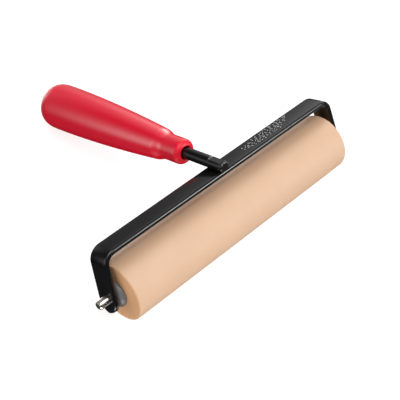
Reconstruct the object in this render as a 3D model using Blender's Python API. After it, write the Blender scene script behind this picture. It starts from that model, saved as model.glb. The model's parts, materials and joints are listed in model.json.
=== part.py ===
"""Rubber brayer: a hand roller for printmaking and bookbinding.

A rubber-covered roller turns in a bent steel strip yoke. A round steel rod is
welded flat on the back of the yoke and carries a moulded grip. The brayer
stands as it is laid down on a bench: on the roller and on the butt of the grip.

World frame: X along the roller's axis, the grip towards +Y, Z up, bench at
Z = 0, origin in the yoke's middle plane at the middle of the box's bottom (the
pin stands 1 mm further out on the left). Lengths in metres.
"""
import math

import bmesh
import bpy
from mathutils import Matrix, Vector

MM = 0.001

# Roller
ROLLER_RADIUS = 15.875 * MM
ROLLER_LENGTH = 152.4 * MM
SLEEVE_EDGE = 0.8 * MM
SLEEVE_BORE = 6.7 * MM
CORE_RADIUS = 6.5 * MM
CORE_BORE = 5.2 * MM
CORE_LENGTH = 151.6 * MM
ROLLER_SEGMENTS = 64

# Hubs: a spigot in the core, a flange on the rubber and a dome towards the arm
HUB_FLANGE_RADIUS = 7.1 * MM
HUB_FLANGE_THICKNESS = 0.6 * MM
HUB_FACE_RADIUS = 3.4 * MM
HUB_HEIGHT = 3.5 * MM
HUB_SPIGOT_RADIUS = 5.0 * MM
HUB_SPIGOT_LENGTH = 14.0 * MM
HUB_BORE = 2.53 * MM
HUB_GAP = 0.15 * MM

# Axle
AXLE_RADIUS = 2.38 * MM
AXLE_LEFT = 88.5 * MM
AXLE_RIGHT = 86.5 * MM
AXLE_CHAMFER = 0.6 * MM

# Yoke: one steel strip bent to a U, its arms sprung slightly outwards
STRIP_WIDTH = 12.0 * MM
STRIP_THICKNESS = 3.0 * MM
STRIP_EDGE = 1.0 * MM
YOKE_HALF_WIDTH = 83.3 * MM
YOKE_HEIGHT = 25.4 * MM
BEND_RADIUS = 7.2 * MM
ARM_FLARE = math.radians(5.3)
ARM_END_OFFSET = 1.1 * MM
ARM_HOLE = 2.53 * MM

# Handle rod
ROD_RADIUS = 3.1 * MM
ROD_HEIGHT = 28.2 * MM
ROD_PITCH = math.radians(4.9)
ROD_FRONT = -7.0 * MM
ROD_TAIL = 84.0 * MM
ROD_CHAMFER = 0.7 * MM
ROD_TOP_FLAT = 2.55 * MM
ROD_TOP_FLAT_END = 4.2 * MM
ROD_FOOT_GAP = 0.1 * MM

# Grip, as distances along the rod from the yoke's middle plane
GRIP_FRONT = 20.5 * MM
GRIP_NECK_RADIUS = 6.83 * MM
GRIP_LIP_RADIUS = 3.2 * MM
GRIP_RIM_RADIUS = 1.0 * MM
GRIP_MOUTH_RADIUS = 3.5 * MM
GRIP_MOUTH_DEPTH = 4.5 * MM
GRIP_BORE_RADIUS = 3.3 * MM
GRIP_BORE_END = 84.6 * MM
GRIP_SHOULDER_START = 32.6 * MM
GRIP_SHOULDER_END = 39.0 * MM
GRIP_SHOULDER_RADIUS = 8.45 * MM
GRIP_BELLY = 121.0 * MM
GRIP_BELLY_RADIUS = 12.9 * MM
GRIP_DOME_LENGTH = 13.2 * MM
GRIP_DOME_POWER = 2.85
GRIP_TAPER_POWER = 1.8
GRIP_SEGMENTS = 40


def clear_scene():
    for item in list(bpy.data.objects):
        bpy.data.objects.remove(item, do_unlink=True)


def material(name, colour, roughness, metallic=0.0):
    result = bpy.data.materials.new(name)
    result.use_nodes = True
    shader = result.node_tree.nodes["Principled BSDF"]
    shader.inputs["Base Color"].default_value = (*colour, 1.0)
    shader.inputs["Roughness"].default_value = roughness
    shader.inputs["Metallic"].default_value = metallic
    result.diffuse_color = (*colour, 1.0)
    return result


def add_object(name, mesh_data, surface, parent, matrix=None):
    mesh = bpy.data.meshes.new(name)
    mesh_data.to_mesh(mesh)
    mesh_data.free()
    mesh.shade_smooth()
    mesh.set_sharp_from_angle(angle=math.radians(35))
    result = bpy.data.objects.new(name, mesh)
    bpy.context.scene.collection.objects.link(result)
    if surface is not None:
        mesh.materials.append(surface)
    result.parent = parent
    if matrix is not None:
        result.matrix_local = matrix
    return result


def add_empty(name, location, rotation=(0.0, 0.0, 0.0)):
    result = bpy.data.objects.new(name, None)
    bpy.context.scene.collection.objects.link(result)
    result.empty_display_size = 0.02
    result.location = location
    result.rotation_euler = rotation
    return result


def turned(profile, segments, closed):
    """Solid of revolution about local Z. The profile is (radius, height) pairs."""
    result = bmesh.new()
    points = [result.verts.new((radius, 0.0, height)) for radius, height in profile]
    edges = [result.edges.new(pair) for pair in zip(points, points[1:])]
    if closed:
        edges.append(result.edges.new((points[-1], points[0])))
    bmesh.ops.spin(
        result,
        geom=points + edges,
        cent=(0.0, 0.0, 0.0),
        axis=(0.0, 0.0, 1.0),
        angle=2.0 * math.pi,
        steps=segments,
        use_merge=True,
    )
    bmesh.ops.remove_doubles(result, verts=result.verts, dist=1e-6)
    bmesh.ops.recalc_face_normals(result, faces=result.faces)
    return result


def arc(centre, radii, start, end, steps):
    """Points of an elliptical arc as (radius, height), angles from +radius."""
    result = []
    for index in range(steps + 1):
        angle = start + (end - start) * index / steps
        across = centre[0] + radii[0] * math.cos(angle)
        along = centre[1] + radii[1] * math.sin(angle)
        result.append((across, along))
    return result


def smooth_step(value):
    value = min(max(value, 0.0), 1.0)
    return value * value * (3.0 - 2.0 * value)


def grip_radius(distance):
    """Outer radius of the grip behind its neck, at a distance along the rod."""
    if distance >= GRIP_BELLY:
        part = (distance - GRIP_BELLY) / GRIP_DOME_LENGTH
        return GRIP_BELLY_RADIUS * math.sqrt(max(0.0, 1.0 - part**GRIP_DOME_POWER))
    part = (GRIP_BELLY - distance) / (GRIP_BELLY - GRIP_SHOULDER_END)
    fall = GRIP_BELLY_RADIUS - GRIP_SHOULDER_RADIUS
    body = GRIP_BELLY_RADIUS - fall * part**GRIP_TAPER_POWER
    span = GRIP_SHOULDER_END - GRIP_SHOULDER_START
    blend = smooth_step((distance - GRIP_SHOULDER_START) / span)
    return GRIP_NECK_RADIUS + (body - GRIP_NECK_RADIUS) * blend


def grip_outline():
    """Outer profile of the grip from the socket's rim to the middle of the butt."""
    middle = (GRIP_NECK_RADIUS - GRIP_LIP_RADIUS, GRIP_FRONT + GRIP_LIP_RADIUS)
    rim_across = GRIP_MOUTH_RADIUS + GRIP_RIM_RADIUS - middle[0]
    rim_along = math.sqrt((GRIP_LIP_RADIUS - GRIP_RIM_RADIUS) ** 2 - rim_across**2)
    rim = (middle[0] + rim_across, middle[1] - rim_along)
    join = -math.atan2(rim_along, rim_across)
    result = arc(rim, (GRIP_RIM_RADIUS, GRIP_RIM_RADIUS), -math.pi, join, 4)[:-1]
    result += arc(middle, (GRIP_LIP_RADIUS, GRIP_LIP_RADIUS), join, 0.0, 6)
    result.append((GRIP_NECK_RADIUS, GRIP_SHOULDER_START - 4.0 * MM))
    shoulder = 7
    for index in range(shoulder + 1):
        distance = GRIP_SHOULDER_START + (GRIP_SHOULDER_END - GRIP_SHOULDER_START) * index / shoulder
        result.append((grip_radius(distance), distance))
    body = 10
    for index in range(1, body + 1):
        distance = GRIP_SHOULDER_END + (GRIP_BELLY - GRIP_SHOULDER_END) * index / body
        result.append((grip_radius(distance), distance))
    dome = 9
    for index in range(1, dome):
        distance = GRIP_BELLY + GRIP_DOME_LENGTH * math.sin(0.5 * math.pi * index / dome)
        result.append((grip_radius(distance), distance))
    result.append((0.0, GRIP_BELLY + GRIP_DOME_LENGTH))
    return result


def resting_tilt():
    """Turn about the axle that lets the grip down onto the bench."""
    result = math.inf
    for radius, distance in grip_outline():
        back = distance * math.cos(ROD_PITCH) + radius * math.sin(ROD_PITCH)
        rise = ROD_HEIGHT + distance * math.sin(ROD_PITCH) - radius * math.cos(ROD_PITCH)
        turn = math.atan2(rise, back) + math.asin(ROLLER_RADIUS / math.hypot(back, rise))
        result = min(result, turn)
    return result


def strip_section(width, outer, normal):
    """Closed cross-section of the strip: rounded rectangle, counted round from its back."""
    half = 0.5 * width
    edge = min(STRIP_EDGE, 0.45 * width)
    corners = (
        (half - edge, -edge, 0.0),
        (-half + edge, -edge, 0.5 * math.pi),
        (-half + edge, -STRIP_THICKNESS + edge, math.pi),
        (half - edge, -STRIP_THICKNESS + edge, 1.5 * math.pi),
    )
    result = []
    for across, depth, start in corners:
        for index in range(4):
            angle = start + 0.5 * math.pi * index / 3
            y = across + edge * math.cos(angle)
            n = depth + edge * math.sin(angle)
            result.append(Vector((outer[0] + normal[0] * n, y, outer[1] + normal[1] * n)))
    return result


def yoke_stations():
    """Right half of the yoke: (width, outer point, outward normal) from the middle out."""
    centre_z = YOKE_HEIGHT - BEND_RADIUS
    reach = (BEND_RADIUS + centre_z * math.sin(ARM_FLARE)) / math.cos(ARM_FLARE)
    centre_x = YOKE_HALF_WIDTH - reach
    result = []
    for share in (0.25, 0.5, 0.75):
        result.append((STRIP_WIDTH, (centre_x * share, YOKE_HEIGHT), (0.0, 1.0)))
    turn = 0.5 * math.pi - ARM_FLARE
    for index in range(11):
        angle = turn * index / 10
        normal = (math.sin(angle), math.cos(angle))
        outer = (centre_x + BEND_RADIUS * normal[0], centre_z + BEND_RADIUS * normal[1])
        result.append((STRIP_WIDTH, outer, normal))
    normal = (math.cos(ARM_FLARE), math.sin(ARM_FLARE))
    along = (math.sin(ARM_FLARE), -math.cos(ARM_FLARE))

    def arm_point(distance):
        x = YOKE_HALF_WIDTH + along[0] * distance
        return (x, along[1] * distance)

    end_radius = 0.5 * STRIP_WIDTH
    for distance in (-12.0 * MM, -6.0 * MM):
        result.append((STRIP_WIDTH, arm_point(distance), normal))
    for index in range(13):
        angle = math.radians(84.0) * index / 12
        distance = ARM_END_OFFSET + end_radius * math.sin(angle)
        result.append((STRIP_WIDTH * math.cos(angle), arm_point(distance), normal))
    return result


def yoke_mesh():
    right = yoke_stations()
    sections = []
    for width, outer, normal in reversed(right):
        sections.append(strip_section(width, (-outer[0], outer[1]), (-normal[0], normal[1])))
    for width, outer, normal in right:
        sections.append(strip_section(width, outer, normal))
    result = bmesh.new()
    rings = [[result.verts.new(point) for point in section] for section in sections]
    count = len(rings[0])
    for first, second in zip(rings, rings[1:]):
        for index in range(count):
            following = (index + 1) % count
            result.faces.new((first[index], first[following], second[following], second[index]))
    result.faces.new(rings[0])
    result.faces.new(list(reversed(rings[-1])))
    bmesh.ops.recalc_face_normals(result, faces=result.faces)
    return result


def cylinder_mesh(radius, length, segments):
    return turned([(0.0, -0.5 * length), (radius, -0.5 * length), (radius, 0.5 * length), (0.0, 0.5 * length)], segments, False)


def box_mesh(low, high):
    result = bmesh.new()
    bmesh.ops.create_cube(result, size=1.0)
    middle = (Vector(low) + Vector(high)) / 2.0
    size = Vector(high) - Vector(low)
    for vertex in result.verts:
        vertex.co = Vector((vertex.co.x * size.x, vertex.co.y * size.y, vertex.co.z * size.z)) + middle
    return result


def cut(target, cutter):
    cutter.hide_render = True
    cutter.display_type = "WIRE"
    modifier = target.modifiers.new(cutter.name, "BOOLEAN")
    modifier.operation = "DIFFERENCE"
    modifier.solver = "EXACT"
    modifier.object = cutter


def hub_profile():
    """Hub from its spigot's inner end (low) to the face towards the arm (high)."""
    dome = arc(
        (HUB_FACE_RADIUS, HUB_FLANGE_THICKNESS),
        (HUB_FLANGE_RADIUS - HUB_FACE_RADIUS, HUB_HEIGHT - HUB_FLANGE_THICKNESS),
        0.0,
        0.5 * math.pi,
        8,
    )
    inner = [
        (HUB_BORE, HUB_HEIGHT),
        (HUB_BORE, -HUB_SPIGOT_LENGTH),
        (HUB_SPIGOT_RADIUS - 0.5 * MM, -HUB_SPIGOT_LENGTH),
        (HUB_SPIGOT_RADIUS, -HUB_SPIGOT_LENGTH + 0.5 * MM),
        (HUB_SPIGOT_RADIUS, 0.0),
        (HUB_FLANGE_RADIUS, 0.0),
    ]
    return inner + dome


def sleeve_profile():
    half = 0.5 * ROLLER_LENGTH
    top = arc(
        (ROLLER_RADIUS - SLEEVE_EDGE, half - SLEEVE_EDGE),
        (SLEEVE_EDGE, SLEEVE_EDGE),
        0.0,
        0.5 * math.pi,
        4,
    )
    bottom = [(radius, -height) for radius, height in reversed(top)]
    return [(SLEEVE_BORE, half), (SLEEVE_BORE, -half)] + bottom + top


def core_profile():
    half = 0.5 * CORE_LENGTH
    return [(CORE_BORE, half), (CORE_BORE, -half), (CORE_RADIUS, -half), (CORE_RADIUS, half)]


def axle_profile():
    """Pin from its longer left end (low) to its right end (high)."""
    body = AXLE_RADIUS - AXLE_CHAMFER
    return [
        (0.0, -AXLE_LEFT),
        (body, -AXLE_LEFT),
        (AXLE_RADIUS, -AXLE_LEFT + AXLE_CHAMFER),
        (AXLE_RADIUS, AXLE_RIGHT - AXLE_CHAMFER),
        (body, AXLE_RIGHT),
        (0.0, AXLE_RIGHT),
    ]


def rod_profile():
    return [
        (0.0, ROD_FRONT),
        (ROD_RADIUS - ROD_CHAMFER, ROD_FRONT),
        (ROD_RADIUS, ROD_FRONT + ROD_CHAMFER),
        (ROD_RADIUS, ROD_TAIL - ROD_CHAMFER),
        (ROD_RADIUS - ROD_CHAMFER, ROD_TAIL),
        (0.0, ROD_TAIL),
    ]


def grip_profile():
    mouth_end = GRIP_FRONT + GRIP_MOUTH_DEPTH
    socket = [
        (0.0, GRIP_BORE_END),
        (GRIP_BORE_RADIUS, GRIP_BORE_END),
        (GRIP_BORE_RADIUS, mouth_end),
        (GRIP_MOUTH_RADIUS, mouth_end - 0.4 * MM),
    ]
    return socket + grip_outline()


def build():
    clear_scene()
    black = material("yoke_black", (0.012, 0.012, 0.013), 0.38)
    rod_black = material("rod_black", (0.010, 0.010, 0.011), 0.30)
    red = material("grip_red", (0.62, 0.012, 0.030), 0.28)
    rubber = material("sleeve_tan", (0.78, 0.55, 0.38), 0.60)
    steel = material("core_steel", (0.45, 0.45, 0.46), 0.35, 1.0)
    grey = material("hub_grey", (0.16, 0.16, 0.165), 0.45)
    nickel = material("axle_nickel", (0.72, 0.68, 0.64), 0.22, 1.0)

    tilt = resting_tilt()
    axle_point = (0.0, 0.0, ROLLER_RADIUS)
    frame_pivot = add_empty("frame_pivot", axle_point, (-tilt, 0.0, 0.0))
    roller_pivot = add_empty("roller_pivot", axle_point)

    yoke = add_object("yoke", yoke_mesh(), black, frame_pivot)
    hole = add_object("cutter_axle_hole", cylinder_mesh(ARM_HOLE, 0.2, 32), None, frame_pivot, Matrix.Rotation(0.5 * math.pi, 4, "Y"))
    cut(yoke, hole)

    along_rod = Matrix.Translation((0.0, 0.0, ROD_HEIGHT)) @ Matrix.Rotation(-0.5 * math.pi + ROD_PITCH, 4, "X")
    rod = add_object("handle_rod", turned(rod_profile(), 32, False), rod_black, frame_pivot, along_rod)
    reach = 2.0 * ROD_RADIUS
    top_box = box_mesh((-reach, -reach, ROD_FRONT - 1.0 * MM), (reach, -ROD_TOP_FLAT, ROD_TOP_FLAT_END))
    top_flat = add_object("cutter_rod_top", top_box, None, frame_pivot, along_rod)
    foot_top = YOKE_HEIGHT + ROD_FOOT_GAP
    foot_box = box_mesh((-reach, -12.0 * MM, foot_top - reach), (reach, 20.0 * MM, foot_top))
    foot_flat = add_object("cutter_rod_foot", foot_box, None, frame_pivot)
    cut(rod, top_flat)
    cut(rod, foot_flat)
    add_object("grip", turned(grip_profile(), GRIP_SEGMENTS, False), red, frame_pivot, along_rod)

    along_axle = Matrix.Rotation(0.5 * math.pi, 4, "Y")
    add_object("rubber_sleeve", turned(sleeve_profile(), ROLLER_SEGMENTS, True), rubber, roller_pivot, along_axle)
    add_object("roller_core", turned(core_profile(), 32, True), steel, roller_pivot, along_axle)
    add_object("axle", turned(axle_profile(), 32, False), nickel, roller_pivot, along_axle)
    seat = 0.5 * ROLLER_LENGTH + HUB_GAP
    for name, side in (("hub_left", -1.0), ("hub_right", 1.0)):
        turn = Matrix.Rotation(side * 0.5 * math.pi, 4, "Y")
        place = Matrix.Translation((side * seat, 0.0, 0.0)) @ turn
        add_object(name, turned(hub_profile(), 32, True), grey, roller_pivot, place)

    centre_on_bounding_box((frame_pivot, roller_pivot))


def centre_on_bounding_box(pivots):
    """Slide the whole brayer along Y so that the origin is the box's bottom centre."""
    bpy.context.view_layer.update()
    graph = bpy.context.evaluated_depsgraph_get()
    low = math.inf
    high = -math.inf
    for item in bpy.context.scene.objects:
        if item.type != "MESH" or item.hide_render:
            continue
        solid = item.evaluated_get(graph)
        for vertex in solid.data.vertices:
            y = (solid.matrix_world @ vertex.co).y
            low = min(low, y)
            high = max(high, y)
    for pivot in pivots:
        pivot.location.y -= 0.5 * (low + high)
    bpy.context.view_layer.update()


build()
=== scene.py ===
import json
import math

import bmesh
import bpy
from mathutils import Matrix, Vector


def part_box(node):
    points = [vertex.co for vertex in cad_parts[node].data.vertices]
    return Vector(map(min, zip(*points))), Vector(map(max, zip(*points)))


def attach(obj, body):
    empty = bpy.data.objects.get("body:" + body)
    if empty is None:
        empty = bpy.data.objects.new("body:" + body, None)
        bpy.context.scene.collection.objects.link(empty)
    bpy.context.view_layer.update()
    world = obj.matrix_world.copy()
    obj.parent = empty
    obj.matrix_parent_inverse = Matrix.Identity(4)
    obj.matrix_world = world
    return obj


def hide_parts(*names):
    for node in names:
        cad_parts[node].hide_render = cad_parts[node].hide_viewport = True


MM = 0.001
QUARTER = 0.5 * math.pi
FULL_TURN = 2.0 * math.pi

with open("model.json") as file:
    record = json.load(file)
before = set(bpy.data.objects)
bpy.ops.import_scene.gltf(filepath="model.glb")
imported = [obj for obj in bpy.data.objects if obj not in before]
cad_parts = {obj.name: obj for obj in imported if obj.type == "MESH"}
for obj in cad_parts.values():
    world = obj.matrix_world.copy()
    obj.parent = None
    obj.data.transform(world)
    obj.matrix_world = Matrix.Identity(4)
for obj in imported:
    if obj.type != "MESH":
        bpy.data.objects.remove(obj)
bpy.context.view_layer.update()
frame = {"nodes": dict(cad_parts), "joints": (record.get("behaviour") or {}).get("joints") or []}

# ---------------------------------------------------------------------------
# Places, all from the frame: the axle is the joint's own axis, and the yoke,
# rod and grip are turned about it so that the grip's butt lies on the bench.
# ---------------------------------------------------------------------------
AXLE = Vector(frame["joints"][0]["pos_m"])
TILT = math.radians(18.88687)
YOKE_FRAME = Matrix.Translation(AXLE) @ Matrix.Rotation(-TILT, 4, "X")
ROD_HEIGHT = 28.2 * MM  # the rod's axis above the axle, over the middle of the bar
ROD_PITCH = math.radians(4.9)
ALONG_ROD = (
    YOKE_FRAME
    @ Matrix.Translation((0.0, 0.0, ROD_HEIGHT))
    @ Matrix.Rotation(ROD_PITCH - QUARTER, 4, "X")
)
ALONG_AXLE = Matrix.Translation(AXLE) @ Matrix.Rotation(QUARTER, 4, "Y")

sleeve_low, sleeve_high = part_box("rubber_sleeve")
ROLLER_RADIUS = 0.5 * (sleeve_high.z - sleeve_low.z)
ROLLER_HALF = 0.5 * (sleeve_high.x - sleeve_low.x)
axle_low, axle_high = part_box("axle")
AXLE_RADIUS = 0.5 * (axle_high.z - axle_low.z)


# ---------------------------------------------------------------------------
# Node helpers
# ---------------------------------------------------------------------------
NOISE_ROUGHNESS = 0.55
MIX_COLOUR_A, MIX_COLOUR_B, MIX_COLOUR_RESULT = 6, 7, 2  # the Mix node's sockets for colours


def new_material(name):
    mat = bpy.data.materials.new(name)
    mat.use_nodes = True
    return mat, mat.node_tree, mat.node_tree.nodes["Principled BSDF"]


def object_coords(tree, scale=(1.0, 1.0, 1.0)):
    coords = tree.nodes.new("ShaderNodeTexCoord")
    mapping = tree.nodes.new("ShaderNodeMapping")
    mapping.inputs["Scale"].default_value = scale
    tree.links.new(coords.outputs["Object"], mapping.inputs["Vector"])
    return mapping.outputs["Vector"]


def noise(tree, vector, scale, detail):
    result = tree.nodes.new("ShaderNodeTexNoise")
    result.inputs["Scale"].default_value = scale
    result.inputs["Detail"].default_value = detail
    result.inputs["Roughness"].default_value = NOISE_ROUGHNESS
    tree.links.new(vector, result.inputs["Vector"])
    return result.outputs["Fac"]


def ramp(tree, value, first, last):
    """Colour ramp between two stops of (position, colour)."""
    result = tree.nodes.new("ShaderNodeValToRGB")
    for element, (position, colour) in zip(result.color_ramp.elements, (first, last)):
        element.position = position
        element.color = (*colour, 1.0)
    tree.links.new(value, result.inputs["Fac"])
    return result.outputs["Color"]


def value_range(tree, value, low, high, to_low, to_high):
    result = tree.nodes.new("ShaderNodeMapRange")
    result.inputs["From Min"].default_value = low
    result.inputs["From Max"].default_value = high
    result.inputs["To Min"].default_value = to_low
    result.inputs["To Max"].default_value = to_high
    tree.links.new(value, result.inputs["Value"])
    return result.outputs["Result"]


def bump(tree, height, strength, distance, normal=None):
    result = tree.nodes.new("ShaderNodeBump")
    result.inputs["Strength"].default_value = strength
    result.inputs["Distance"].default_value = distance
    tree.links.new(height, result.inputs["Height"])
    if normal is not None:
        tree.links.new(normal, result.inputs["Normal"])
    return result.outputs["Normal"]


def math_node(tree, operation, *operands):
    """Maths on sockets and plain numbers."""
    result = tree.nodes.new("ShaderNodeMath")
    result.operation = operation
    for index, item in enumerate(operands):
        if isinstance(item, (int, float)):
            result.inputs[index].default_value = item
        else:
            tree.links.new(item, result.inputs[index])
    return result.outputs["Value"]


def product(tree, first, *others):
    for item in others:
        first = math_node(tree, "MULTIPLY", first, item)
    return first


def along(tree, vector, direction):
    """How far the vector reaches along a fixed direction."""
    result = tree.nodes.new("ShaderNodeVectorMath")
    result.operation = "DOT_PRODUCT"
    result.inputs[1].default_value = direction
    tree.links.new(vector, result.inputs[0])
    return result.outputs["Value"]


def mix_colours(tree, factor, first, second):
    """Mix of two colours; the second may be a constant."""
    result = tree.nodes.new("ShaderNodeMix")
    result.data_type = "RGBA"
    tree.links.new(factor, result.inputs["Factor"])
    tree.links.new(first, result.inputs[MIX_COLOUR_A])
    if isinstance(second, tuple):
        result.inputs[MIX_COLOUR_B].default_value = second
    else:
        tree.links.new(second, result.inputs[MIX_COLOUR_B])
    return result.outputs[MIX_COLOUR_RESULT]


def band(tree, value, middle, half):
    """1 at the middle, falling to 0 at half either side."""
    away = math_node(tree, "ABSOLUTE", math_node(tree, "SUBTRACT", value, middle))
    return value_range(tree, away, 0.0, half, 1.0, 0.0)


# ---------------------------------------------------------------------------
# Measures of the rod that its painted highlights follow too, in the rod's own frame:
# along it from the middle of the bar towards the grip, and up from its axis
# ---------------------------------------------------------------------------
ROD_RADIUS = 3.1 * MM
ROD_FRONT = -7.0 * MM
ROD_TAIL = 84.0 * MM
FLAT_HEIGHT = 2.55 * MM
FLAT_END = 2.1 * MM
FLAT_RISE = 0.6 * MM
# Painted highlights, a lighter grey on the enamel: a band across the step at the
# flat's end, and one round the rim of the nose, which is strongest on top and towards -X.
STEP_HIGHLIGHT = (FLAT_END + 0.35 * MM, 0.5 * MM)  # middle and half width
STEP_HIGHLIGHT_ABOVE = (2.0 * MM, 2.5 * MM)
RIM_HIGHLIGHT = (2.35 * MM, 0.42 * MM)
RIM_HIGHLIGHT_BEHIND = (ROD_FRONT + 0.15 * MM, ROD_FRONT + 0.35 * MM)
RIM_HIGHLIGHT_ABOVE = (1.2 * MM, 2.0 * MM)
RIM_HIGHLIGHT_SIDE = (0.4 * MM, 1.4 * MM)
# the grey of the painted highlights
HIGHLIGHT_GREY = (0.42, 0.42, 0.43, 1.0)


# ---------------------------------------------------------------------------
# Materials
# ---------------------------------------------------------------------------
def painted_highlight_on_rod(mat):
    """Painted highlights: the enamel lightened to grey at the rod's nose rim and at the step of its
    pressed flat.
    """
    tree = mat.node_tree
    shader = tree.nodes["Principled BSDF"]
    turn = ALONG_ROD.to_3x3()
    coords = tree.nodes.new("ShaderNodeTexCoord")
    away = tree.nodes.new("ShaderNodeVectorMath")
    away.operation = "SUBTRACT"
    away.inputs[1].default_value = ALONG_ROD.to_translation()
    tree.links.new(coords.outputs["Object"], away.inputs[0])
    place = away.outputs["Vector"]
    ahead = along(tree, place, turn @ Vector((0.0, 0.0, 1.0)))
    above = along(tree, place, turn @ Vector((0.0, -1.0, 0.0)))
    side = along(tree, place, turn @ Vector((1.0, 0.0, 0.0)))

    highlight_breakup = noise(tree, object_coords(tree), 1500.0, 2.0)
    patchy = value_range(tree, highlight_breakup, 0.40, 0.60, 0.10, 1.0)

    on_top = value_range(tree, above, *STEP_HIGHLIGHT_ABOVE, 0.0, 1.0)
    step = product(tree, band(tree, ahead, *STEP_HIGHLIGHT), on_top)

    squares = math_node(tree, "ADD", product(tree, above, above), product(tree, side, side))
    out = math_node(tree, "SQRT", squares)
    rim = product(
        tree,
        band(tree, out, *RIM_HIGHLIGHT),
        value_range(tree, ahead, *RIM_HIGHLIGHT_BEHIND, 1.0, 0.0),
        value_range(tree, above, *RIM_HIGHLIGHT_ABOVE, 0.06, 1.0),
        value_range(tree, side, *RIM_HIGHLIGHT_SIDE, 1.0, 0.15),
    )

    # painted highlight: the enamel's colour mixed towards grey in these bands
    highlight_mask = product(tree, math_node(tree, "MAXIMUM", step, rim), patchy)
    enamelled = shader.inputs["Base Color"].links[0].from_socket
    tree.links.new(mix_colours(tree, highlight_mask, enamelled, HIGHLIGHT_GREY), shader.inputs["Base Color"])
    return mat


def enamel(name, colour, roughness, grain=1.0):
    """Black stove enamel: fine orange peel, a trace of dust in the tone."""
    mat, tree, shader = new_material(name)
    place = object_coords(tree)
    peel = noise(tree, place, 900.0, 2.0)
    cloud = noise(tree, place, 70.0, 4.0)
    grit = noise(tree, place, 4200.0, 2.0)
    low = [c * 0.75 for c in colour]
    high = [c * 1.35 for c in colour]
    tree.links.new(ramp(tree, cloud, (0.3, low), (0.7, high)), shader.inputs["Base Color"])
    spread = value_range(tree, grit, 0.3, 0.7, roughness - 0.04, roughness + 0.07)
    tree.links.new(spread, shader.inputs["Roughness"])
    first = bump(tree, peel, 0.05 * grain, 0.0002)
    tree.links.new(bump(tree, grit, 0.07 * grain, 0.00004, first), shader.inputs["Normal"])
    shader.inputs["IOR"].default_value = 1.5
    return mat


def red_plastic(name, roughness, ior, grain=1.0, shade=1.0):
    """Moulded plastic with a faint sink and flow unevenness; a shade below 1 darkens its colour as
    painted shade.
    """
    mat, tree, shader = new_material(name)
    place = object_coords(tree)
    flow = noise(tree, object_coords(tree, (1.0, 0.25, 1.0)), 60.0, 3.0)
    fine = noise(tree, place, 1400.0, 2.0)
    low = [c * shade for c in (0.87, 0.0050, 0.030)]
    high = [c * shade for c in (0.91, 0.0070, 0.036)]
    tree.links.new(ramp(tree, flow, (0.25, low), (0.75, high)), shader.inputs["Base Color"])
    spread = value_range(tree, fine, 0.3, 0.7, roughness - 0.01, roughness + 0.01)
    tree.links.new(spread, shader.inputs["Roughness"])
    first = bump(tree, flow, 0.02, 0.0008)
    tree.links.new(bump(tree, fine, 0.004 * grain, 0.00004, first), shader.inputs["Normal"])
    shader.inputs["IOR"].default_value = ior
    return mat


def gum_rubber():
    """Ground tan rubber: round-the-roll grinding marks, light mottling, and warmer, brighter end
    faces, partly their own tone and partly painted light.
    """
    mat, tree, shader = new_material("sleeve_gum_rubber")
    coords = tree.nodes.new("ShaderNodeTexCoord")
    place = coords.outputs["Object"]
    cloud = noise(tree, place, 55.0, 4.0)
    speck = noise(tree, place, 2600.0, 2.0)
    rings = noise(tree, object_coords(tree, (1.0, 0.02, 0.02)), 5200.0, 2.0)
    side = ramp(tree, cloud, (0.3, (0.710, 0.436, 0.262)), (0.7, (0.750, 0.465, 0.283)))
    # end faces: a warmer, brighter colour, partly the cut face's own tone and partly painted light
    # that brightens the ends
    end = ramp(tree, cloud, (0.3, (0.93, 0.485, 0.222)), (0.7, (0.96, 0.515, 0.242)))
    split = tree.nodes.new("ShaderNodeSeparateXYZ")
    tree.links.new(coords.outputs["Normal"], split.inputs["Vector"])
    facing = math_node(tree, "ABSOLUTE", split.outputs["X"])
    blend = value_range(tree, facing, 0.35, 0.95, 0.0, 1.0)
    tree.links.new(mix_colours(tree, blend, side, end), shader.inputs["Base Color"])
    tree.links.new(value_range(tree, speck, 0.3, 0.7, 0.58, 0.70), shader.inputs["Roughness"])
    first = bump(tree, rings, 0.12, 0.00006)
    tree.links.new(bump(tree, speck, 0.10, 0.00005, first), shader.inputs["Normal"])
    shader.inputs["IOR"].default_value = 2.1
    return mat


def grey_plastic():
    """Moulded grey plastic of the hubs, with a faint cloud and a fine matt grain."""
    mat, tree, shader = new_material("hub_grey_moulded")
    place = object_coords(tree)
    cloud = noise(tree, place, 300.0, 3.0)
    fine = noise(tree, place, 3000.0, 2.0)
    tone = ramp(tree, cloud, (0.3, (0.145, 0.145, 0.150)), (0.7, (0.180, 0.180, 0.185)))
    tree.links.new(tone, shader.inputs["Base Color"])
    tree.links.new(value_range(tree, fine, 0.3, 0.7, 0.33, 0.45), shader.inputs["Roughness"])
    tree.links.new(bump(tree, fine, 0.08, 0.00005), shader.inputs["Normal"])
    return mat


def bare_specks():
    """Dull broken metal at the bottom of each punched dot."""
    mat, tree, shader = new_material("punched_dot_metal")
    place = object_coords(tree)
    cloud = noise(tree, place, 900.0, 2.0)
    fine = noise(tree, place, 5000.0, 2.0)
    tone = ramp(tree, cloud, (0.35, (0.55, 0.55, 0.56)), (0.65, (0.85, 0.85, 0.86)))
    tree.links.new(tone, shader.inputs["Base Color"])
    tree.links.new(value_range(tree, fine, 0.3, 0.7, 0.45, 0.65), shader.inputs["Roughness"])
    tree.links.new(bump(tree, fine, 0.2, 0.00003), shader.inputs["Normal"])
    shader.inputs["Metallic"].default_value = 0.2
    return mat


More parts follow.
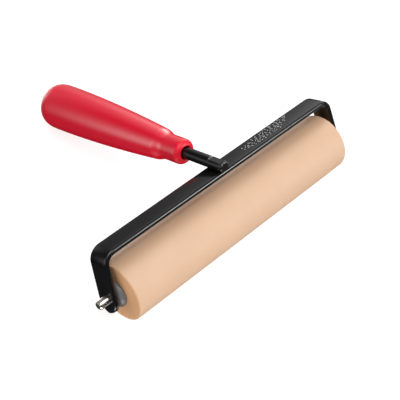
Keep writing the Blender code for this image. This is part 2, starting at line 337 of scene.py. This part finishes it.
def plated_steel(name, colour, roughness):
    """Plated steel with turning marks round the axis and a few dull spots."""
    mat, tree, shader = new_material(name)
    marks = noise(tree, object_coords(tree, (1.0, 0.05, 0.05)), 6000.0, 2.0)
    cloud = noise(tree, object_coords(tree), 700.0, 3.0)
    low = [c * 0.86 for c in colour]
    tree.links.new(ramp(tree, cloud, (0.3, low), (0.7, colour)), shader.inputs["Base Color"])
    spread = value_range(tree, cloud, 0.3, 0.7, roughness, roughness + 0.1)
    tree.links.new(spread, shader.inputs["Roughness"])
    tree.links.new(bump(tree, marks, 0.15, 0.00004), shader.inputs["Normal"])
    shader.inputs["Metallic"].default_value = 1.0
    return mat


ENAMEL_BLACK = (0.0050, 0.0050, 0.0053)
BLACK = enamel("yoke_black_enamel", ENAMEL_BLACK, 0.15)
ROD_BLACK = painted_highlight_on_rod(enamel("rod_black_enamel", ENAMEL_BLACK, 0.17, 0.6))
RED = red_plastic("grip_red_gloss", 0.26, 2.0)
RED_SATIN = red_plastic("grip_red_satin", 0.42, 1.45, 14.0)
# painted shade: the inside of the mouth darkened to near black, standing in for the shade in the
# recess
RED_BORE_PAINTED_SHADE = red_plastic("grip_red_bore_painted_shade", 0.60, 1.35, 14.0, 0.22)
RUBBER = gum_rubber()
GREY = grey_plastic()
NICKEL = plated_steel("axle_bright_nickel", (0.76, 0.70, 0.63), 0.20)
CORE_STEEL = plated_steel("core_tube_steel", (0.50, 0.50, 0.51), 0.30)
DOT_METAL = bare_specks()


# ---------------------------------------------------------------------------
# Mesh helpers
# ---------------------------------------------------------------------------
def finish_piece(name, mesh_data, mat, body, slot, matrix, sharp_angle, *replaced):
    mesh = bpy.data.meshes.new(name)
    bmesh.ops.recalc_face_normals(mesh_data, faces=mesh_data.faces)
    bmesh.ops.transform(mesh_data, matrix=matrix, verts=mesh_data.verts)
    mesh_data.to_mesh(mesh)
    mesh_data.free()
    mesh.shade_smooth()
    mesh.set_sharp_from_angle(angle=math.radians(sharp_angle))
    mesh.materials.append(mat)
    piece = bpy.data.objects.new(name, mesh)
    bpy.context.scene.collection.objects.link(piece)
    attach(piece, body)
    if replaced:
        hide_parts(*replaced)
    return piece


def join_rings(mesh_data, first, second):
    """Faces between two equal rings of vertices."""
    for index in range(len(first)):
        following = (index + 1) % len(first)
        mesh_data.faces.new((first[index], first[following], second[following], second[index]))


def add_skin(mesh_data, rings):
    """Closed skin over equal rings of points, with a flat cap at either end."""
    made = [[mesh_data.verts.new(point) for point in ring] for ring in rings]
    for first, second in zip(made, made[1:]):
        join_rings(mesh_data, first, second)
    mesh_data.faces.new(made[0])
    mesh_data.faces.new(list(reversed(made[-1])))


def skin(rings):
    result = bmesh.new()
    add_skin(result, rings)
    return result


def turned(profile, segments, closed=False):
    """Solid of revolution about local Z from (radius, height) pairs."""
    result = bmesh.new()
    rings = []
    for radius, height in profile:
        if radius == 0.0:
            rings.append([result.verts.new((0.0, 0.0, height))])
            continue
        ring = []
        for index in range(segments):
            angle = FULL_TURN * index / segments
            x, y = radius * math.cos(angle), radius * math.sin(angle)
            ring.append(result.verts.new((x, y, height)))
        rings.append(ring)
    pairs = list(zip(rings, rings[1:]))
    if closed:
        pairs.append((rings[-1], rings[0]))
    for first, second in pairs:
        if len(first) > 1 and len(second) > 1:
            join_rings(result, first, second)
            continue
        for index in range(segments):
            following = (index + 1) % segments
            if len(first) == 1:
                result.faces.new((first[0], second[following], second[index]))
            else:
                result.faces.new((first[index], first[following], second[0]))
    return result


def arc(centre, radii, start, end, steps):
    result = []
    for index in range(steps + 1):
        angle = start + (end - start) * index / steps
        x = centre[0] + radii[0] * math.cos(angle)
        y = centre[1] + radii[1] * math.sin(angle)
        result.append((x, y))
    return result


def smooth_step(value):
    value = min(max(value, 0.0), 1.0)
    return value * value * (3.0 - 2.0 * value)


def scratch_object(name, mesh_data, matrix):
    mesh = bpy.data.meshes.new(name)
    bmesh.ops.recalc_face_normals(mesh_data, faces=mesh_data.faces)
    mesh_data.to_mesh(mesh)
    mesh_data.free()
    item = bpy.data.objects.new(name, mesh)
    bpy.context.scene.collection.objects.link(item)
    item.matrix_world = matrix
    return item


def carve(mesh_data, tool_data, tool_matrix):
    """mesh_data less the tool, as new mesh data; both scratch objects are removed."""
    body = scratch_object("carved_body", mesh_data, Matrix.Identity(4))
    tool = scratch_object("carving_tool", tool_data, tool_matrix)
    modifier = body.modifiers.new("carve", "BOOLEAN")
    modifier.operation = "DIFFERENCE"
    modifier.solver = "EXACT"
    modifier.object = tool
    bpy.context.view_layer.update()
    carved = body.evaluated_get(bpy.context.evaluated_depsgraph_get())
    result = bmesh.new()
    result.from_mesh(carved.to_mesh())
    carved.to_mesh_clear()
    for item in (body, tool):
        mesh = item.data
        bpy.data.objects.remove(item)
        bpy.data.meshes.remove(mesh)
    return result


# ---------------------------------------------------------------------------
# Yoke: the bent strip, with its rolled edges, round arm ends and axle holes
# ---------------------------------------------------------------------------
WIDTH = 12.0 * MM
THICK = 3.0 * MM
TOP_EDGE = 1.15 * MM
LOW_EDGE = 1.0 * MM
EDGE_LIMIT = 0.48  # most that an edge radius may be, as a share of the width
EDGE_STEPS = 8
HALF_SPAN = 83.3 * MM
BAR_HEIGHT = 25.4 * MM
BAR_STEPS = 12
BEND = 7.2 * MM
BEND_STEPS = 28
FLARE = math.radians(5.3)
ARM_STATIONS = (-14.0, -10.0, -6.0, -3.0)  # mm along the arm, from the axle's height
END_OFFSET = 1.1 * MM
END_SWEEP = math.radians(87.0)  # short of a quarter, so that the tip keeps some width
END_STEPS = 32
HOLE = 2.53 * MM
HOLE_SEGMENTS = 64
DRILL_REACH = 100.0 * MM


def strip_ring(width, outer, normal):
    """Section of the strip, hung inwards from a point of its outer face."""
    half = 0.5 * width
    top = min(TOP_EDGE, EDGE_LIMIT * width)
    low = min(LOW_EDGE, EDGE_LIMIT * width)
    corners = (
        (half - top, -top, 0.0, top),
        (-half + top, -top, QUARTER, top),
        (-half + low, -THICK + low, math.pi, low),
        (half - low, -THICK + low, 3.0 * QUARTER, low),
    )
    result = []
    for across, depth, start, edge in corners:
        for y, n in arc((across, depth), (edge, edge), start, start + QUARTER, EDGE_STEPS):
            result.append(Vector((outer[0] + normal[0] * n, y, outer[1] + normal[1] * n)))
    return result


def yoke_stations():
    """(width, outer point, outward normal) from the middle of the bar to an arm's end."""
    centre_z = BAR_HEIGHT - BEND
    centre_x = HALF_SPAN - (BEND + centre_z * math.sin(FLARE)) / math.cos(FLARE)
    result = []
    for index in range(1, BAR_STEPS + 1):
        x = centre_x * index / (BAR_STEPS + 0.5)
        result.append((WIDTH, (x, BAR_HEIGHT), (0.0, 1.0)))
    for index in range(BEND_STEPS + 1):
        angle = (QUARTER - FLARE) * index / BEND_STEPS
        normal = (math.sin(angle), math.cos(angle))
        point = (centre_x + BEND * normal[0], centre_z + BEND * normal[1])
        result.append((WIDTH, point, normal))
    normal = (math.cos(FLARE), math.sin(FLARE))

    def arm(distance):
        return (HALF_SPAN + math.sin(FLARE) * distance, -math.cos(FLARE) * distance)

    for distance in ARM_STATIONS:
        result.append((WIDTH, arm(distance * MM), normal))
    for index in range(END_STEPS + 1):
        angle = END_SWEEP * index / END_STEPS
        point = arm(END_OFFSET + 0.5 * WIDTH * math.sin(angle))
        result.append((WIDTH * math.cos(angle), point, normal))
    return result


def build_yoke():
    right = yoke_stations()
    rings = []
    for width, outer, normal in reversed(right):
        rings.append(strip_ring(width, (-outer[0], outer[1]), (-normal[0], normal[1])))
    for width, outer, normal in right:
        rings.append(strip_ring(width, outer, normal))
    reach = DRILL_REACH
    drill = turned([(0.0, -reach), (HOLE, -reach), (HOLE, reach), (0.0, reach)], HOLE_SEGMENTS)
    strip = carve(skin(rings), drill, Matrix.Rotation(QUARTER, 4, "Y"))
    finish_piece("yoke_strip", strip, BLACK, "frame", "yoke_black", YOKE_FRAME, 40.0, "yoke")


# ---------------------------------------------------------------------------
# Rod: pressed flat on top where the welding electrode stood, flat at its foot
# ---------------------------------------------------------------------------
ROD_NOSE = ((0.0, 2.35), (0.06, 2.42), (0.62, 3.02), (0.78, 3.08))  # mm from the front, radius
ROD_GROOVE = ((1.15, 0.0), (1.3, 0.22), (1.5, 0.30), (1.75, 0.22), (1.95, 0.0))  # and depth
GROOVE_IN_FLAT = 0.9  # depth of the groove in the pressed flat, as a share of that around it
FINE_START = 2.25 * MM
FINE_STEP = 0.25 * MM
FINE_END = 12.0 * MM
ROD_STATIONS = (16.0, 30.0, 50.0, 70.0, 83.4)
TAIL_CHAMFER = 0.6 * MM
WELD_GAP = 0.02 * MM
ROD_SEGMENTS = 96


def rod_outline():
    """(height, radius) along the rod, closest together where its flat ends."""
    result = []
    for behind, radius in ROD_NOSE:
        result.append((ROD_FRONT + behind * MM, radius * MM))
    for behind, depth in ROD_GROOVE:
        result.append((ROD_FRONT + behind * MM, ROD_RADIUS - depth * MM))
    height = ROD_FRONT + FINE_START
    while height < FINE_END:
        result.append((height, ROD_RADIUS))
        height += FINE_STEP
    for distance in ROD_STATIONS:
        result.append((distance * MM, ROD_RADIUS))
    result.append((ROD_TAIL, ROD_RADIUS - TAIL_CHAMFER))
    return result


def build_rod():
    foot_height = BAR_HEIGHT + WELD_GAP - ROD_HEIGHT
    rings = []
    for height, radius in rod_outline():
        rise = smooth_step((height - FLAT_END) / FLAT_RISE)
        lid = FLAT_HEIGHT + (ROD_RADIUS - FLAT_HEIGHT) * rise
        if height > ROD_FRONT + MM:
            lid -= GROOVE_IN_FLAT * (ROD_RADIUS - radius)
        foot = (foot_height - height * math.sin(ROD_PITCH)) / math.cos(ROD_PITCH)
        ring = []
        for index in range(ROD_SEGMENTS):
            angle = FULL_TURN * index / ROD_SEGMENTS
            up = max(min(radius * math.sin(angle), lid), foot)
            ring.append(Vector((radius * math.cos(angle), -up, height)))
        rings.append(ring)
    rod = skin(rings)
    finish_piece(
        "handle_rod_steel", rod, ROD_BLACK, "frame", "rod_black", ALONG_ROD, 40.0, "handle_rod"
    )


# ---------------------------------------------------------------------------
# Plain rows of punched dots on the bar, bare metal where the enamel is broken
# ---------------------------------------------------------------------------
# Start and end of each row along the bar, and its place across it, in mm.
DOT_ROWS = (
    (39.0, 59.5, 4.3),
    (29.0, 57.5, 3.1),
    (20.5, 56.0, 1.6),
    (22.0, 53.5, 0.2),
    (20.0, 50.0, -1.3),
    (24.0, 46.5, -2.6),
)
DOT_PITCH = 1.25
# How far the dots stray from an even row, and the waves that they stray by.
DOT_STRAY_ALONG = 0.30
DOT_STRAY_ACROSS = 0.28
DOT_RINGS = ((0.33, -0.02), (0.25, 0.04), (0.12, 0.015))  # radius and height in mm
DOT_SEGMENTS = 10


def add_dot(data, x, y):
    rings = []
    for radius, height in DOT_RINGS:
        ring = []
        for step in range(DOT_SEGMENTS):
            angle = FULL_TURN * step / DOT_SEGMENTS
            ring.append((
                (x + radius * math.cos(angle)) * MM,
                (y + radius * math.sin(angle)) * MM,
                BAR_HEIGHT + height * MM,
            ))
        rings.append(ring)
    add_skin(data, rings)


def build_marks():
    data = bmesh.new()
    for row, (start, end, across) in enumerate(DOT_ROWS):
        for index in range(int((end - start) / DOT_PITCH)):
            if (index * 7 + row * 4) % 9 in (2, 5, 6):  # the gaps that break up each row
                continue
            x = start + DOT_PITCH * index + DOT_STRAY_ALONG * math.sin(2.9 * index + 1.7 * row)
            y = across + DOT_STRAY_ACROSS * math.sin(4.1 * index + 2.0 * row)
            add_dot(data, x, y)
    finish_piece("punched_dots", data, DOT_METAL, "frame", "core_steel", YOKE_FRAME, 60.0)


# ---------------------------------------------------------------------------
# Grip: heights along the rod from the middle of the bar
# ---------------------------------------------------------------------------
FRONT = 20.5 * MM
NECK = 6.83 * MM
LIP = 3.2 * MM
MOUTH = 3.5 * MM
MOUTH_DEPTH = 4.1 * MM
RIM = 0.6 * MM
SOCKET = 3.3 * MM
SOCKET_FRONT = FRONT + 4.5 * MM
SOCKET_END = 84.6 * MM
SHOULDER_START = 32.6 * MM
SHOULDER_END = 39.0 * MM
SHOULDER = 8.45 * MM
BODY_START = SHOULDER_END + 3.0 * MM
BODY_TAPER = 1.8
BELLY_AT = 121.0 * MM
BELLY = 12.9 * MM
DOME = 13.2 * MM
DOME_POWER = 2.85
RIM_STEPS, LIP_STEPS, NECK_STEPS, BODY_STEPS, DOME_STEPS = 12, 14, 26, 40, 28
GRIP_SEGMENTS = 128
SATIN_END = 23.3 * MM
BORE_END = FRONT + 5.0 * MM
BORE_RADIUS = MOUTH + 0.1 * MM
SATIN_SLOT, SHADED_BORE_SLOT = 1, 2


def grip_radius(distance):
    if distance >= BELLY_AT:
        part = (distance - BELLY_AT) / DOME
        return BELLY * math.sqrt(max(0.0, 1.0 - part**DOME_POWER))
    part = (BELLY_AT - distance) / (BELLY_AT - SHOULDER_END)
    body = BELLY - (BELLY - SHOULDER) * part**BODY_TAPER
    blend = smooth_step((distance - SHOULDER_START) / (SHOULDER_END - SHOULDER_START))
    return NECK + (body - NECK) * blend


def grip_stretch(start, end, steps):
    """Points of the grip's outline after start, up to end."""
    result = []
    for index in range(1, steps + 1):
        distance = start + (end - start) * index / steps
        result.append((grip_radius(distance), distance))
    return result


def grip_profile():
    # the lip's arc and the mouth's small rim arc meet where they share a tangent
    middle = (NECK - LIP, FRONT + LIP)
    across = MOUTH + RIM - middle[0]
    back = math.sqrt((LIP - RIM) ** 2 - across**2)
    join = -math.atan2(back, across)
    result = [(0.0, SOCKET_END), (SOCKET, SOCKET_END), (SOCKET, SOCKET_FRONT)]
    result.append((MOUTH, FRONT + MOUTH_DEPTH))
    rim = (MOUTH + RIM, middle[1] - back)
    result += arc(rim, (RIM, RIM), -math.pi, join, RIM_STEPS)[:-1]
    result += arc(middle, (LIP, LIP), join, 0.0, LIP_STEPS)
    result += grip_stretch(middle[1], BODY_START, NECK_STEPS)
    result += grip_stretch(BODY_START, BELLY_AT, BODY_STEPS)
    for index in range(1, DOME_STEPS):
        distance = BELLY_AT + DOME * math.sin(QUARTER * index / DOME_STEPS)
        result.append((grip_radius(distance), distance))
    result.append((0.0, BELLY_AT + DOME))
    return result


def build_grip():
    grip = turned(grip_profile(), GRIP_SEGMENTS)
    piece = finish_piece("grip_moulding", grip, RED, "frame", "grip_red", ALONG_ROD, 45.0, "grip")
    # the front ring is satin, and the inside of the mouth dull and darkened with painted shade
    piece.data.materials.append(RED_SATIN)
    piece.data.materials.append(RED_BORE_PAINTED_SHADE)
    back = ALONG_ROD.inverted()
    for face in piece.data.polygons:
        place = back @ face.center
        # faces inside the mouth take the painted-shade material
        if math.hypot(place.x, place.y) < BORE_RADIUS and place.z < BORE_END:
            face.material_index = SHADED_BORE_SLOT
        elif place.z < SATIN_END:
            face.material_index = SATIN_SLOT


# ---------------------------------------------------------------------------
# Roller: rubber sleeve, hubs and axle
# ---------------------------------------------------------------------------
SLEEVE_EDGE = 0.9 * MM
SLEEVE_EDGE_STEPS = 8
SLEEVE_BORE = 6.7 * MM
SLEEVE_SEGMENTS = 192
HUB_BORE = 2.53 * MM
HUB_FACE = 3.4 * MM
HUB_FLANGE = 7.1 * MM
HUB_FLANGE_EDGE = 0.2 * MM
HUB_DOME_START = 0.75 * MM
HUB_DOME = 2.75 * MM
HUB_BORE_TOP = 3.2 * MM  # from here the bore widens to its rim
HUB_BORE_RIM = 2.8 * MM
HUB_DOME_STEPS = 20
HUB_SPIGOT = 5.0 * MM
HUB_SPIGOT_LENGTH = 14.0 * MM
HUB_SPIGOT_CHAMFER = 0.5 * MM
HUB_GAP = 0.15 * MM
HUB_SEGMENTS = 96
PIN_SEGMENTS = 96
# Distance in from the pin's end and distance in from its radius, in mm.
PIN_CHAMFER = ((0.0, 0.75), (0.04, 0.62), (0.62, 0.06), (0.75, 0.0), (8.0, 0.0))


def build_sleeve():
    edge = SLEEVE_EDGE
    corner = (ROLLER_RADIUS - edge, ROLLER_HALF - edge)
    top = arc(corner, (edge, edge), 0.0, QUARTER, SLEEVE_EDGE_STEPS)
    bottom = [(radius, -height) for radius, height in reversed(top)]
    middle = [(ROLLER_RADIUS, share * ROLLER_HALF) for share in (-0.5, 0.0, 0.5)]
    profile = [(SLEEVE_BORE, ROLLER_HALF), (SLEEVE_BORE, -ROLLER_HALF)] + bottom + middle + top
    sleeve = turned(profile, SLEEVE_SEGMENTS, True)
    finish_piece(
        "rubber_covering", sleeve, RUBBER, "roller", "sleeve_tan", ALONG_AXLE, 50.0, "rubber_sleeve"
    )


def build_hub(side, name, replaced):
    radii = (HUB_FLANGE - HUB_FACE, HUB_DOME)
    dome = arc((HUB_FACE, HUB_DOME_START), radii, 0.0, QUARTER, HUB_DOME_STEPS)
    profile = [
        (HUB_BORE, HUB_BORE_TOP),
        (HUB_BORE, -HUB_SPIGOT_LENGTH),
        (HUB_SPIGOT - HUB_SPIGOT_CHAMFER, -HUB_SPIGOT_LENGTH),
        (HUB_SPIGOT, HUB_SPIGOT_CHAMFER - HUB_SPIGOT_LENGTH),
        (HUB_SPIGOT, 0.0),
        (HUB_FLANGE - HUB_FLANGE_EDGE, 0.0),
        (HUB_FLANGE, HUB_FLANGE_EDGE),
    ]
    profile += dome + [(HUB_BORE_RIM, HUB_DOME_START + HUB_DOME)]
    seat = AXLE + Vector((side * (ROLLER_HALF + HUB_GAP), 0.0, 0.0))
    matrix = Matrix.Translation(seat) @ Matrix.Rotation(side * QUARTER, 4, "Y")
    hub = turned(profile, HUB_SEGMENTS, True)
    finish_piece(name, hub, GREY, "roller", "hub_grey", matrix, 40.0, replaced)


def build_axle():
    end = [(AXLE_RADIUS - less * MM, inside * MM) for inside, less in PIN_CHAMFER]
    profile = [(0.0, axle_low.x)]
    profile += [(radius, axle_low.x + inside) for radius, inside in end]
    profile += [(radius, axle_high.x - inside) for radius, inside in reversed(end)]
    profile += [(0.0, axle_high.x)]
    pin = turned(profile, PIN_SEGMENTS)
    finish_piece("axle_pin", pin, NICKEL, "roller", "axle_nickel", ALONG_AXLE, 25.0, "axle")


build_yoke()
build_rod()
build_marks()
build_grip()
build_sleeve()
build_hub(-1.0, "hub_left_moulding", "hub_left")
build_hub(1.0, "hub_right_moulding", "hub_right")
build_axle()
core = frame["nodes"]["roller_core"]
core.data.materials.clear()
core.data.materials.append(CORE_STEEL)


# ---------------------------------------------------------------------------
# Stage: a plain white floor, a light tent of soft panels, and the camera
# ---------------------------------------------------------------------------
WHITE = (1.0, 1.0, 1.0, 1.0)
FLOOR_SIZE = 4.0
FLOOR_DROP = 0.05 * MM
FLOOR_PAPER = (0.42, 0.42, 0.42, 1.0)
FLOOR_GLOW = 0.80
# Soft panels of the tent: azimuth from +Y towards +X, elevation, and brightness.
PANELS = (
    (-135.0, -45.0, 7.80),
    (-90.0, -45.0, 0.50),
    (-45.0, -45.0, 0.06),
    (135.0, -45.0, 2.00),
    (15.0, -20.0, 4.20),
    (-60.0, 3.0, 1.75),
    (0.0, 3.0, 1.50),
    (40.0, 3.0, 0.10),
    (80.0, 3.0, 0.50),
    (-110.0, 22.0, 1.50),
    (-70.0, 22.0, 1.25),
    (-50.0, 22.0, 0.40),
    (50.0, 22.0, 1.10),
    (70.0, 22.0, 6.50),
    (-154.3, 42.0, 0.60),
    (25.7, 42.0, 0.48),
    (51.4, 42.0, 1.05),
    (-150.0, 62.0, 3.30),
    (10.0, 62.0, 0.40),
    (170.0, 62.0, 6.90),
)
PANEL_SHARPNESS = 30.0
# The upright strip light in front, as angles in degrees and a brightness.
STRIP_AZIMUTH = 147.0
STRIP_ELEVATION = 8.0
STRIP_HALF_WIDTH = 6.5
STRIP_HALF_HEIGHT = 9.5
STRIP_FADE = -0.7
STRIP_BRIGHTNESS = 20.0


def aim(azimuth, elevation):
    a = math.radians(azimuth)
    e = math.radians(elevation)
    return Vector((math.sin(a) * math.cos(e), math.cos(a) * math.cos(e), math.sin(e)))


def split_by_camera(tree, seen, unseen, surface):
    """Camera rays get the first shader, all other rays the second."""
    path = tree.nodes.new("ShaderNodeLightPath")
    mix = tree.nodes.new("ShaderNodeMixShader")
    tree.links.new(path.outputs["Is Camera Ray"], mix.inputs[0])
    tree.links.new(unseen, mix.inputs[1])
    tree.links.new(seen, mix.inputs[2])
    tree.links.new(mix.outputs[0], surface)


def build_floor():
    mat = bpy.data.materials.new("studio_floor")
    mat.use_nodes = True
    tree = mat.node_tree
    tree.nodes.clear()
    out = tree.nodes.new("ShaderNodeOutputMaterial")
    paper = tree.nodes.new("ShaderNodeBsdfDiffuse")
    paper.inputs["Color"].default_value = FLOOR_PAPER
    glow = tree.nodes.new("ShaderNodeEmission")
    glow.inputs["Strength"].default_value = FLOOR_GLOW
    add = tree.nodes.new("ShaderNodeAddShader")
    tree.links.new(paper.outputs[0], add.inputs[0])
    tree.links.new(glow.outputs[0], add.inputs[1])
    clear = tree.nodes.new("ShaderNodeBsdfTransparent")
    split_by_camera(tree, add.outputs[0], clear.outputs[0], out.inputs["Surface"])
    data = bmesh.new()
    bmesh.ops.create_grid(data, x_segments=4, y_segments=4, size=FLOOR_SIZE)
    mesh = bpy.data.meshes.new("studio_floor")
    data.to_mesh(mesh)
    data.free()
    mesh.materials.append(mat)
    floor = bpy.data.objects.new("studio_floor", mesh)
    bpy.context.scene.collection.objects.link(floor)
    floor.location = (0.0, 0.0, -FLOOR_DROP)


def add_strip(tree, direction, total):
    """total plus the strip light, which fades out evenly past its four sides."""
    middle = aim(STRIP_AZIMUTH, STRIP_ELEVATION)
    across = aim(STRIP_AZIMUTH + 90.0, 0.0)
    fade = 0.0
    for axis, half in ((across, STRIP_HALF_WIDTH), (across.cross(middle), STRIP_HALF_HEIGHT)):
        offset = along(tree, direction, axis / math.sin(math.radians(half)))
        square = product(tree, offset, offset)
        fade = math_node(tree, "MULTIPLY_ADD", square, square, fade)
    glow = math_node(tree, "EXPONENT", product(tree, fade, STRIP_FADE))
    ahead = math_node(tree, "GREATER_THAN", along(tree, direction, middle), 0.0)
    return math_node(tree, "MULTIPLY_ADD", glow, product(tree, ahead, STRIP_BRIGHTNESS), total)


def build_tent():
    world = bpy.data.worlds.new("studio")
    bpy.context.scene.world = world
    world.use_nodes = True
    tree = world.node_tree
    tree.nodes.clear()
    direction = tree.nodes.new("ShaderNodeTexCoord").outputs["Generated"]
    total = 0.0
    for azimuth, elevation, brightness in PANELS:
        cosine = along(tree, direction, aim(azimuth, elevation))
        slope = math_node(tree, "MULTIPLY_ADD", cosine, PANEL_SHARPNESS, -PANEL_SHARPNESS)
        glow = math_node(tree, "EXPONENT", slope)
        total = math_node(tree, "MULTIPLY_ADD", glow, brightness, total)
    total = add_strip(tree, direction, total)
    out = tree.nodes.new("ShaderNodeOutputWorld")
    white = tree.nodes.new("ShaderNodeBackground")
    white.inputs["Color"].default_value = WHITE
    tent = tree.nodes.new("ShaderNodeBackground")
    tent.inputs["Color"].default_value = WHITE
    tree.links.new(total, tent.inputs["Strength"])
    split_by_camera(tree, white.outputs[0], tent.outputs[0], out.inputs["Surface"])


CAMERA_AT = Vector((-0.289222, -0.324155, 0.393228))
CAMERA_BACK = Vector((-0.52006, -0.50661, 0.68767)).normalized()  # from the object to the camera
CAMERA_ROLL = math.radians(0.32)
CAMERA_LENS = 96.08
CAMERA_SENSOR = 36.0
CAMERA_CLIP = 0.01


def build_camera():
    data = bpy.data.cameras.new("camera")
    data.sensor_width = CAMERA_SENSOR
    data.lens = CAMERA_LENS
    data.clip_start = CAMERA_CLIP
    camera = bpy.data.objects.new("camera", data)
    bpy.context.scene.collection.objects.link(camera)
    level_right = Vector((0.0, 0.0, 1.0)).cross(CAMERA_BACK).normalized()
    level_up = CAMERA_BACK.cross(level_right)
    right = level_right * math.cos(CAMERA_ROLL) - level_up * math.sin(CAMERA_ROLL)
    up = CAMERA_BACK.cross(right)
    turn = Matrix((right, up, CAMERA_BACK)).transposed().to_4x4()
    camera.matrix_world = Matrix.Translation(CAMERA_AT) @ turn
    bpy.context.scene.camera = camera


build_floor()
build_tent()
build_camera()
bpy.context.scene.view_settings.view_transform = "Standard"
bpy.context.scene.view_settings.look = "None"
